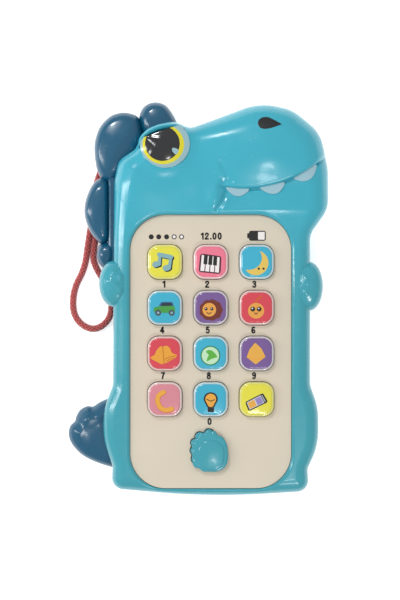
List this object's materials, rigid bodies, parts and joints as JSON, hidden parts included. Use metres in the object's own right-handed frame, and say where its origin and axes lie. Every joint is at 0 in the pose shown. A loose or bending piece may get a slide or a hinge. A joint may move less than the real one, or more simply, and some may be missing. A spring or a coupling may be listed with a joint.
{
  "type": "toy cell phone",
  "caption": "Flat toy phone shaped like a standing dinosaur, with picture keys in a cream panel, a footprint key, a blue crest and tail, and a braided wrist strap.",
  "frame": {"origin": "middle of the flat back face, on the axis of the key panel", "axes": "+Y towards the head, +X to the right as the keys are read, +Z out of the face, with the phone lying on its back"},
  "size_m": [0.1048, 0.1569, 0.0294],
  "materials": {
    "shell_turquoise": "moulded ABS, glossy",
    "spine_blue": "moulded ABS, glossy",
    "panel_cream": "moulded ABS, satin",
    "key_milk": "moulded translucent polystyrene",
    "label_yellow": "printed tile under clear resin",
    "label_pink": "printed tile under clear resin",
    "label_blue": "printed tile under clear resin",
    "label_purple": "printed tile under clear resin",
    "label_red": "printed tile under clear resin",
    "label_rose": "printed tile under clear resin",
    "eye_print": "printed ABS, glossy",
    "silicone": "moulded silicone",
    "board": "glass epoxy with green solder mask",
    "resin_black": "potting resin",
    "screw_steel": "zinc plated",
    "contact_nickel": "nickel plated spring steel",
    "speaker_steel": "pressed steel",
    "speaker_paper": "pressed paper",
    "wire_red": "PVC insulation",
    "switch_black": "moulded",
    "cell_wrap": "printed film wrap over steel",
    "strap_red": "braided polyester"
  },
  "bodies": {
    "handset": {"rear_shell": "shell_turquoise", "front_shell": "shell_turquoise", "back_crest": "spine_blue", "tail": "spine_blue", "eye_inlay": "eye_print", "face_panel": "panel_cream", "keypad_mat": "silicone", "circuit_board": "board", "sound_chip": "resin_black", "case_screws": "screw_steel", "board_screws": "screw_steel", "door_screw": "screw_steel", "speaker_frame": "speaker_steel", "speaker_cone": "speaker_paper", "speaker_magnet": "speaker_steel", "speaker_wires": "wire_red", "battery_wires": "wire_red", "power_switch": "switch_black", "battery_1": "cell_wrap", "battery_2": "cell_wrap", "contact_springs": "contact_nickel", "contact_plates": "contact_nickel", "battery_door": "shell_turquoise", "strap_anchor": "spine_blue", "strap": "strap_red"},
    "button_1": {"key_1": "key_milk", "label_1": "label_yellow"},
    "button_2": {"key_2": "key_milk", "label_2": "label_pink"},
    "button_3": {"key_3": "key_milk", "label_3": "label_blue"},
    "button_4": {"key_4": "key_milk", "label_4": "label_blue"},
    "button_5": {"key_5": "key_milk", "label_5": "label_purple"},
    "button_6": {"key_6": "key_milk", "label_6": "label_red"},
    "button_7": {"key_7": "key_milk", "label_7": "label_red"},
    "button_8": {"key_8": "key_milk", "label_8": "label_blue"},
    "button_9": {"key_9": "key_milk", "label_9": "label_purple"},
    "button_left": {"key_left": "key_milk", "label_left": "label_rose"},
    "button_0": {"key_0": "key_milk", "label_0": "label_blue"},
    "button_right": {"key_right": "key_milk", "label_right": "label_yellow"},
    "button_home": {"home_key": "shell_turquoise"},
    "switch_slider": {"power_slider": "switch_black"}
  },
  "joints": [
    {"name": "press_1", "type": "slide", "parent": "handset", "child": "button_1", "axis": [0, 0, -1], "range_m": [0, 0.0012], "stiffness_N_per_m": 800},
    {"name": "press_2", "type": "slide", "parent": "handset", "child": "button_2", "axis": [0, 0, -1], "range_m": [0, 0.0012], "stiffness_N_per_m": 800},
    {"name": "press_3", "type": "slide", "parent": "handset", "child": "button_3", "axis": [0, 0, -1], "range_m": [0, 0.0012], "stiffness_N_per_m": 800},
    {"name": "press_4", "type": "slide", "parent": "handset", "child": "button_4", "axis": [0, 0, -1], "range_m": [0, 0.0012], "stiffness_N_per_m": 800},
    {"name": "press_5", "type": "slide", "parent": "handset", "child": "button_5", "axis": [0, 0, -1], "range_m": [0, 0.0012], "stiffness_N_per_m": 800},
    {"name": "press_6", "type": "slide", "parent": "handset", "child": "button_6", "axis": [0, 0, -1], "range_m": [0, 0.0012], "stiffness_N_per_m": 800},
    {"name": "press_7", "type": "slide", "parent": "handset", "child": "button_7", "axis": [0, 0, -1], "range_m": [0, 0.0012], "stiffness_N_per_m": 800},
    {"name": "press_8", "type": "slide", "parent": "handset", "child": "button_8", "axis": [0, 0, -1], "range_m": [0, 0.0012], "stiffness_N_per_m": 800},
    {"name": "press_9", "type": "slide", "parent": "handset", "child": "button_9", "axis": [0, 0, -1], "range_m": [0, 0.0012], "stiffness_N_per_m": 800},
    {"name": "press_left", "type": "slide", "parent": "handset", "child": "button_left", "axis": [0, 0, -1], "range_m": [0, 0.0012], "stiffness_N_per_m": 800},
    {"name": "press_0", "type": "slide", "parent": "handset", "child": "button_0", "axis": [0, 0, -1], "range_m": [0, 0.0012], "stiffness_N_per_m": 800},
    {"name": "press_right", "type": "slide", "parent": "handset", "child": "button_right", "axis": [0, 0, -1], "range_m": [0, 0.0012], "stiffness_N_per_m": 800},
    {"name": "press_home", "type": "slide", "parent": "handset", "child": "button_home", "axis": [0, 0, -1], "range_m": [0, 0.0012], "stiffness_N_per_m": 800},
    {"name": "power_slide", "type": "slide", "parent": "handset", "child": "switch_slider", "axis": [1, 0, 0], "range_m": [0, 0.003]}
  ]
}
